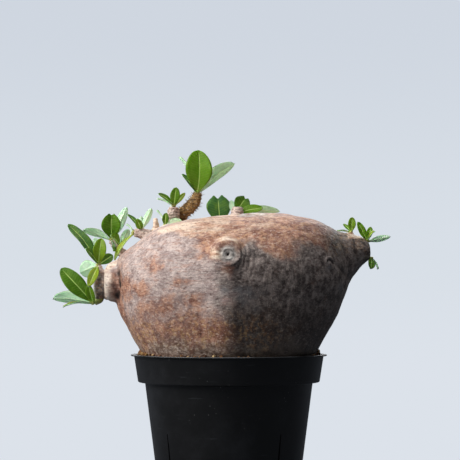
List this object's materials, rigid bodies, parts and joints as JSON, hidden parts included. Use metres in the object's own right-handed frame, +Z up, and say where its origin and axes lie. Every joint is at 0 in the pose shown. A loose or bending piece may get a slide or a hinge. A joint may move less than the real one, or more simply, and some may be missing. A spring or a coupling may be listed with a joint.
{
  "type": "potted caudiciform plant",
  "caption": "Potted pachypodium: a squat swollen stem with short stubs and tufts of small leaves, set in grit in a round black nursery pot with slit sides.",
  "frame": {"origin": "centre of the pot's underside, on the surface that the pot stands on", "axes": "+Z up out of the pot, -Y to the plant's front (the side with the central knob), +X to its right as seen from the front"},
  "size_m": [0.2083, 0.137, 0.225],
  "materials": {
    "pot_plastic": "thin black pot plastic, satin, with dust and a few scuffs",
    "potting_grit": "loose tan, cream and red-brown grit, matt",
    "caudex_bark": "finely wrinkled skin, grey-lilac over red-brown, almost matt",
    "stub_bark": "pale beige-pink scarred bark, matt",
    "spiny_bark": "brown bark covered in short spines and leaf scars, matt",
    "green_shoot": "soft green young stem, satin",
    "leaf_green": "deep green, satin above, paler and matt underneath, light midrib"
  },
  "bodies": {
    "root": {"nursery_pot": "pot_plastic", "grit": "potting_grit", "caudex": "caudex_bark", "left_low_shoot": "green_shoot", "left_top_shoot": "stub_bark", "back_left_branch": "stub_bark", "shoulder_stub": "stub_bark", "forked_stub": "stub_bark", "spiny_branch": "spiny_bark", "crown_stub": "stub_bark", "left_low_leaf_1": "leaf_green", "left_low_leaf_2": "leaf_green", "left_low_leaf_3": "leaf_green", "left_low_leaf_4": "leaf_green", "left_low_leaf_5": "leaf_green", "left_top_leaf_1": "leaf_green", "left_top_leaf_2": "leaf_green", "left_top_leaf_3": "leaf_green", "left_top_leaf_4": "leaf_green", "left_top_leaf_5": "leaf_green", "left_top_leaf_6": "leaf_green", "left_top_leaf_7": "leaf_green", "back_left_leaf_1": "leaf_green", "back_left_leaf_2": "leaf_green", "back_left_leaf_3": "leaf_green", "back_left_leaf_4": "leaf_green", "back_left_leaf_5": "leaf_green", "side_branch_leaf_1": "leaf_green", "side_branch_leaf_2": "leaf_green", "shoulder_leaf_1": "leaf_green", "shoulder_leaf_2": "leaf_green", "shoulder_leaf_3": "leaf_green", "shoulder_leaf_4": "leaf_green", "stub_end_leaf_1": "leaf_green", "stub_end_leaf_2": "leaf_green", "ridge_leaf_1": "leaf_green", "ridge_leaf_2": "leaf_green", "ridge_leaf_3": "leaf_green", "forked_leaf_1": "leaf_green", "forked_leaf_2": "leaf_green", "forked_leaf_3": "leaf_green", "forked_leaf_4": "leaf_green", "spiny_branch_leaf_1": "leaf_green", "spiny_branch_leaf_2": "leaf_green", "spiny_branch_leaf_3": "leaf_green", "spiny_branch_leaf_4": "leaf_green", "crown_leaf_1": "leaf_green", "crown_leaf_2": "leaf_green", "crown_leaf_3": "leaf_green", "crown_leaf_4": "leaf_green", "crown_side_leaf_1": "leaf_green", "right_top_leaf_1": "leaf_green", "right_top_leaf_2": "leaf_green", "right_top_leaf_3": "leaf_green", "right_tip_leaf_1": "leaf_green", "right_tip_leaf_2": "leaf_green", "right_tip_leaf_3": "leaf_green", "right_tip_leaf_4": "leaf_green", "right_under_leaf_1": "leaf_green", "right_under_leaf_2": "leaf_green"}
  },
  "joints": []
}
